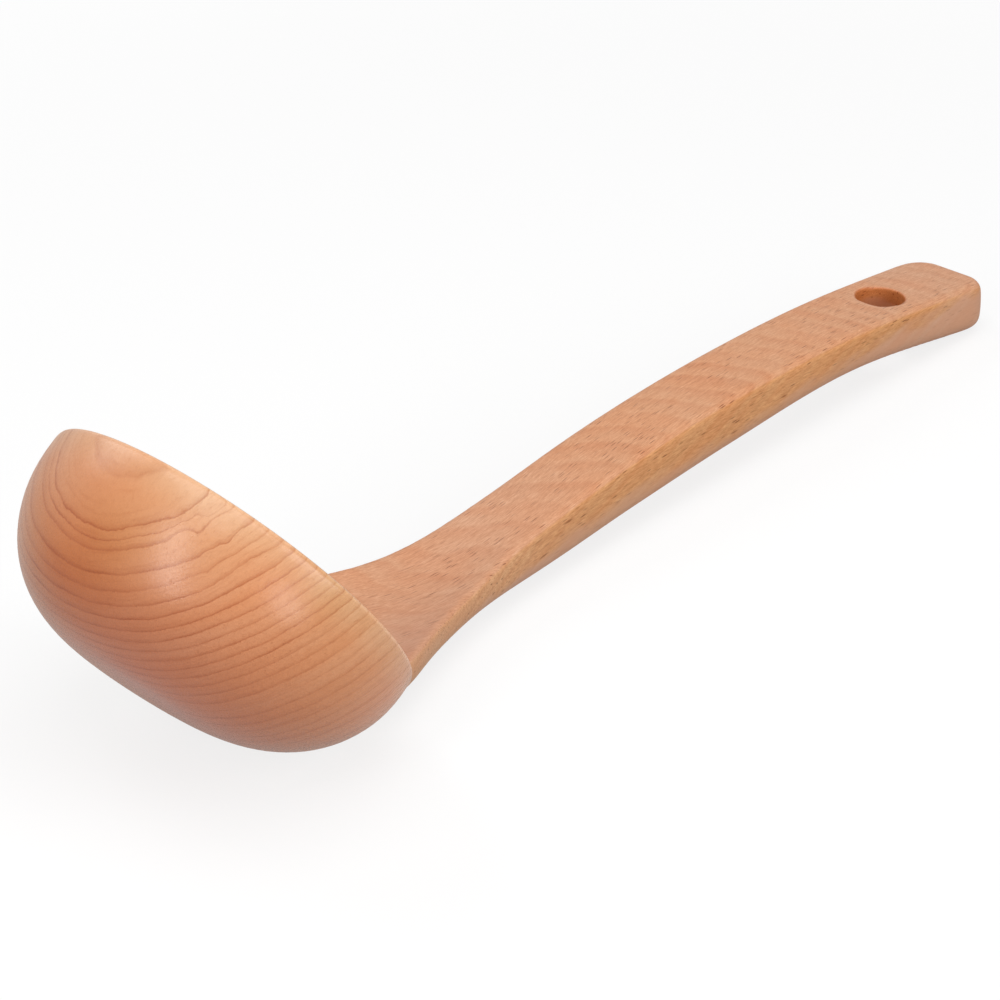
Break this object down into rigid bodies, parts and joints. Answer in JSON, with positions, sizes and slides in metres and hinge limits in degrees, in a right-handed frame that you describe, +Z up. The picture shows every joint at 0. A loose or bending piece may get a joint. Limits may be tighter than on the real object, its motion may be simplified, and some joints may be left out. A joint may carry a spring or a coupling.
{
  "type": "wooden ladle",
  "caption": "Wooden soup ladle with a round turned bowl, a bent flat-topped handle doweled to its rim and a drilled hanging hole.",
  "frame": {"origin": "centre of the bounding box's base, on the surface that the ladle lies on", "axes": "+X from the bowl to the handle's tip, +Y across, +Z up; the ladle lies on the bowl's back and the handle's tip"},
  "size_m": [0.2826, 0.0866, 0.0768],
  "materials": {
    "bowl_wood": "satin lacquered beech, side grain with growth rings",
    "handle_wood": "smooth sanded beech with fine ray flecks",
    "dowel_wood": "plain unfinished beech dowel"
  },
  "bodies": {
    "root": {"bowl": "bowl_wood", "handle": "handle_wood", "dowel_pin_left": "dowel_wood", "dowel_pin_right": "dowel_wood"}
  },
  "joints": []
}
